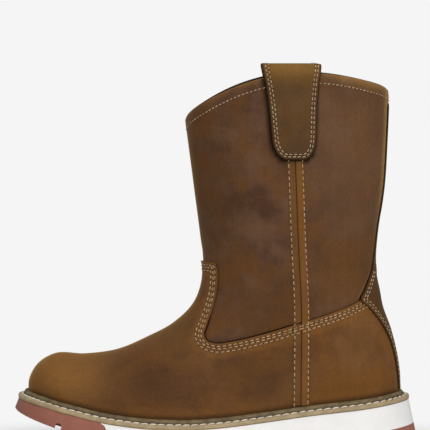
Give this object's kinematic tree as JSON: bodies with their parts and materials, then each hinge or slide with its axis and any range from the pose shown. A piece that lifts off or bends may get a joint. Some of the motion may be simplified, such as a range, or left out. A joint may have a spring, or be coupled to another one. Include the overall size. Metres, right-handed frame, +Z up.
{
  "type": "wellington work boot",
  "caption": "Pull-on leather work boot for the left foot, with a scalloped collar, folded pull straps, a stitched storm welt and a wedge rubber sole.",
  "frame": {"origin": "centre of the plan box at floor level, under the sole", "axes": "-X towards the toe and +X towards the heel, -Y to the outer side of the left foot, +Z up the shaft"},
  "size_m": [0.314, 0.1176, 0.296],
  "materials": {
    "leather": "oiled pull-up leather",
    "seam_leather": "oiled pull-up leather, stretched lighter",
    "strap_leather": "oiled pull-up leather",
    "welt": "matt moulded strip",
    "white_wedge": "satin foamed rubber",
    "red_rubber": "matt rubber",
    "footbed": "cloth-covered footbed"
  },
  "bodies": {
    "root": {"upper": "leather", "vamp": "leather", "counter": "leather", "back_stay": "leather", "side_seam_outer": "seam_leather", "side_seam_inner": "seam_leather", "pull_strap_outer": "strap_leather", "pull_strap_inner": "strap_leather", "welt": "welt", "midsole": "white_wedge", "outsole": "red_rubber", "insole": "footbed"}
  },
  "joints": []
}
